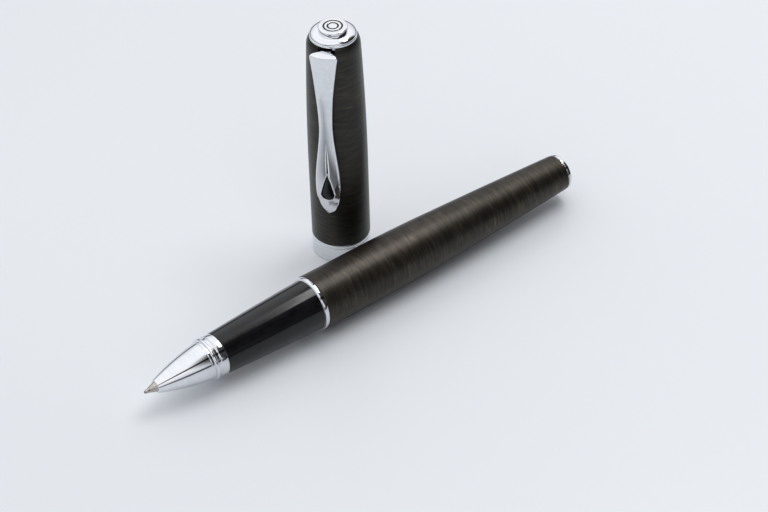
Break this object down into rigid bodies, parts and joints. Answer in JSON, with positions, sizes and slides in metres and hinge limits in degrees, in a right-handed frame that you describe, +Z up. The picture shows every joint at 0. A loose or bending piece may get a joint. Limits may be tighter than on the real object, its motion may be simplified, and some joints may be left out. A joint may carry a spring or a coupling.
{
  "type": "rollerball pen",
  "caption": "Rollerball pen with a brushed dark metal barrel and a push-on cap with a sprung clip, lying uncapped beside its standing cap.",
  "frame": {"origin": "on the table, under the middle of the box round the lying pen and the standing cap", "axes": "+Z up, +X along the pen from its writing tip to its tail, +Y from the pen to the cap"},
  "size_m": [0.122, 0.0324, 0.0629],
  "materials": {
    "polished_chrome": "mirror polish, bright chrome",
    "black_resin": "deep glossy black resin",
    "bare_brass": "turned brass, uncoated",
    "brushed_bronze_black": "dark brown-black lacquer over circumferential brushing, satin gloss",
    "spring_steel": "drawn wire and turned steel",
    "seat_plastic": "moulded acetal",
    "carbide_ball": "ground carbide",
    "tip_steel": "turned nickel silver",
    "refill_plastic": "moulded plastic",
    "feed_plastic": "fibre feed rod",
    "ink_fibre": "ink-soaked fibre",
    "plug_plastic": "moulded plastic",
    "inner_cap_plastic": "moulded black plastic",
    "black_enamel": "black enamel drop"
  },
  "bodies": {
    "section": {"nose_cone": "polished_chrome", "snap_ring": "polished_chrome", "grip_collar": "polished_chrome", "grip_sleeve": "black_resin", "section_core": "bare_brass", "grip_rear_ring": "polished_chrome"},
    "spring_carrier": {"refill_spring": "spring_steel", "spring_seat": "seat_plastic"},
    "barrel": {"barrel_tube": "brushed_bronze_black", "barrel_thread_insert": "bare_brass", "barrel_tail_plug": "bare_brass", "barrel_tail_cap": "polished_chrome"},
    "refill": {"refill_tip": "tip_steel", "refill_body": "refill_plastic", "refill_feed": "feed_plastic", "ink_reservoir": "ink_fibre", "refill_end_plug": "plug_plastic"},
    "ball": {"writing_ball": "carbide_ball"},
    "cap": {"cap_tube": "brushed_bronze_black", "cap_mouth_ring": "polished_chrome", "inner_cap": "inner_cap_plastic", "cap_screw": "spring_steel", "cap_finial": "polished_chrome", "finial_disc": "polished_chrome", "clip_carrier": "inner_cap_plastic", "clip_pivot_pin": "spring_steel", "clip_spring": "spring_steel"},
    "clip": {"clip": "polished_chrome", "clip_inlay": "black_enamel"}
  },
  "joints": [
    {"name": "cap_lift", "type": "slide", "parent": "section", "child": "cap", "axis": [0, 0, 1], "range_m": [0, 0.08]},
    {"name": "clip_pivot", "type": "hinge", "parent": "cap", "child": "clip", "pos_m": [0.00526, 0.0074, 0.05889], "axis": [-0.5878, 0.809, 0], "range_deg": [0, 5], "stiffness_Nm_per_rad": 1.5, "springref_deg": -2.86, "deforming": ["clip_spring"]},
    {"name": "refill_slide", "type": "slide", "parent": "section", "child": "refill", "axis": [1, 0, 0], "range_m": [0, 0.0008], "stiffness_N_per_m": 300, "springref_m": -0.004, "deforming": ["refill_spring"]},
    {"name": "ball_roll", "type": "hinge", "parent": "refill", "child": "ball", "pos_m": [-0.06065, -0.00954, 0.00667], "axis": [0, 1, 0], "continuous": true},
    {"name": "barrel_advance", "type": "slide", "parent": "section", "child": "spring_carrier", "axis": [1, 0, 0], "range_m": [0, 0.005]},
    {"name": "barrel_turn", "type": "hinge", "parent": "spring_carrier", "child": "barrel", "pos_m": [-0.0148, -0.00954, 0.00667], "axis": [1, 0, 0], "range_deg": [0, 1800]}
  ],
  "couplings": [
    {"joint": "barrel_turn", "follows": "barrel_advance", "rad_per_m": 6283.2}
  ]
}
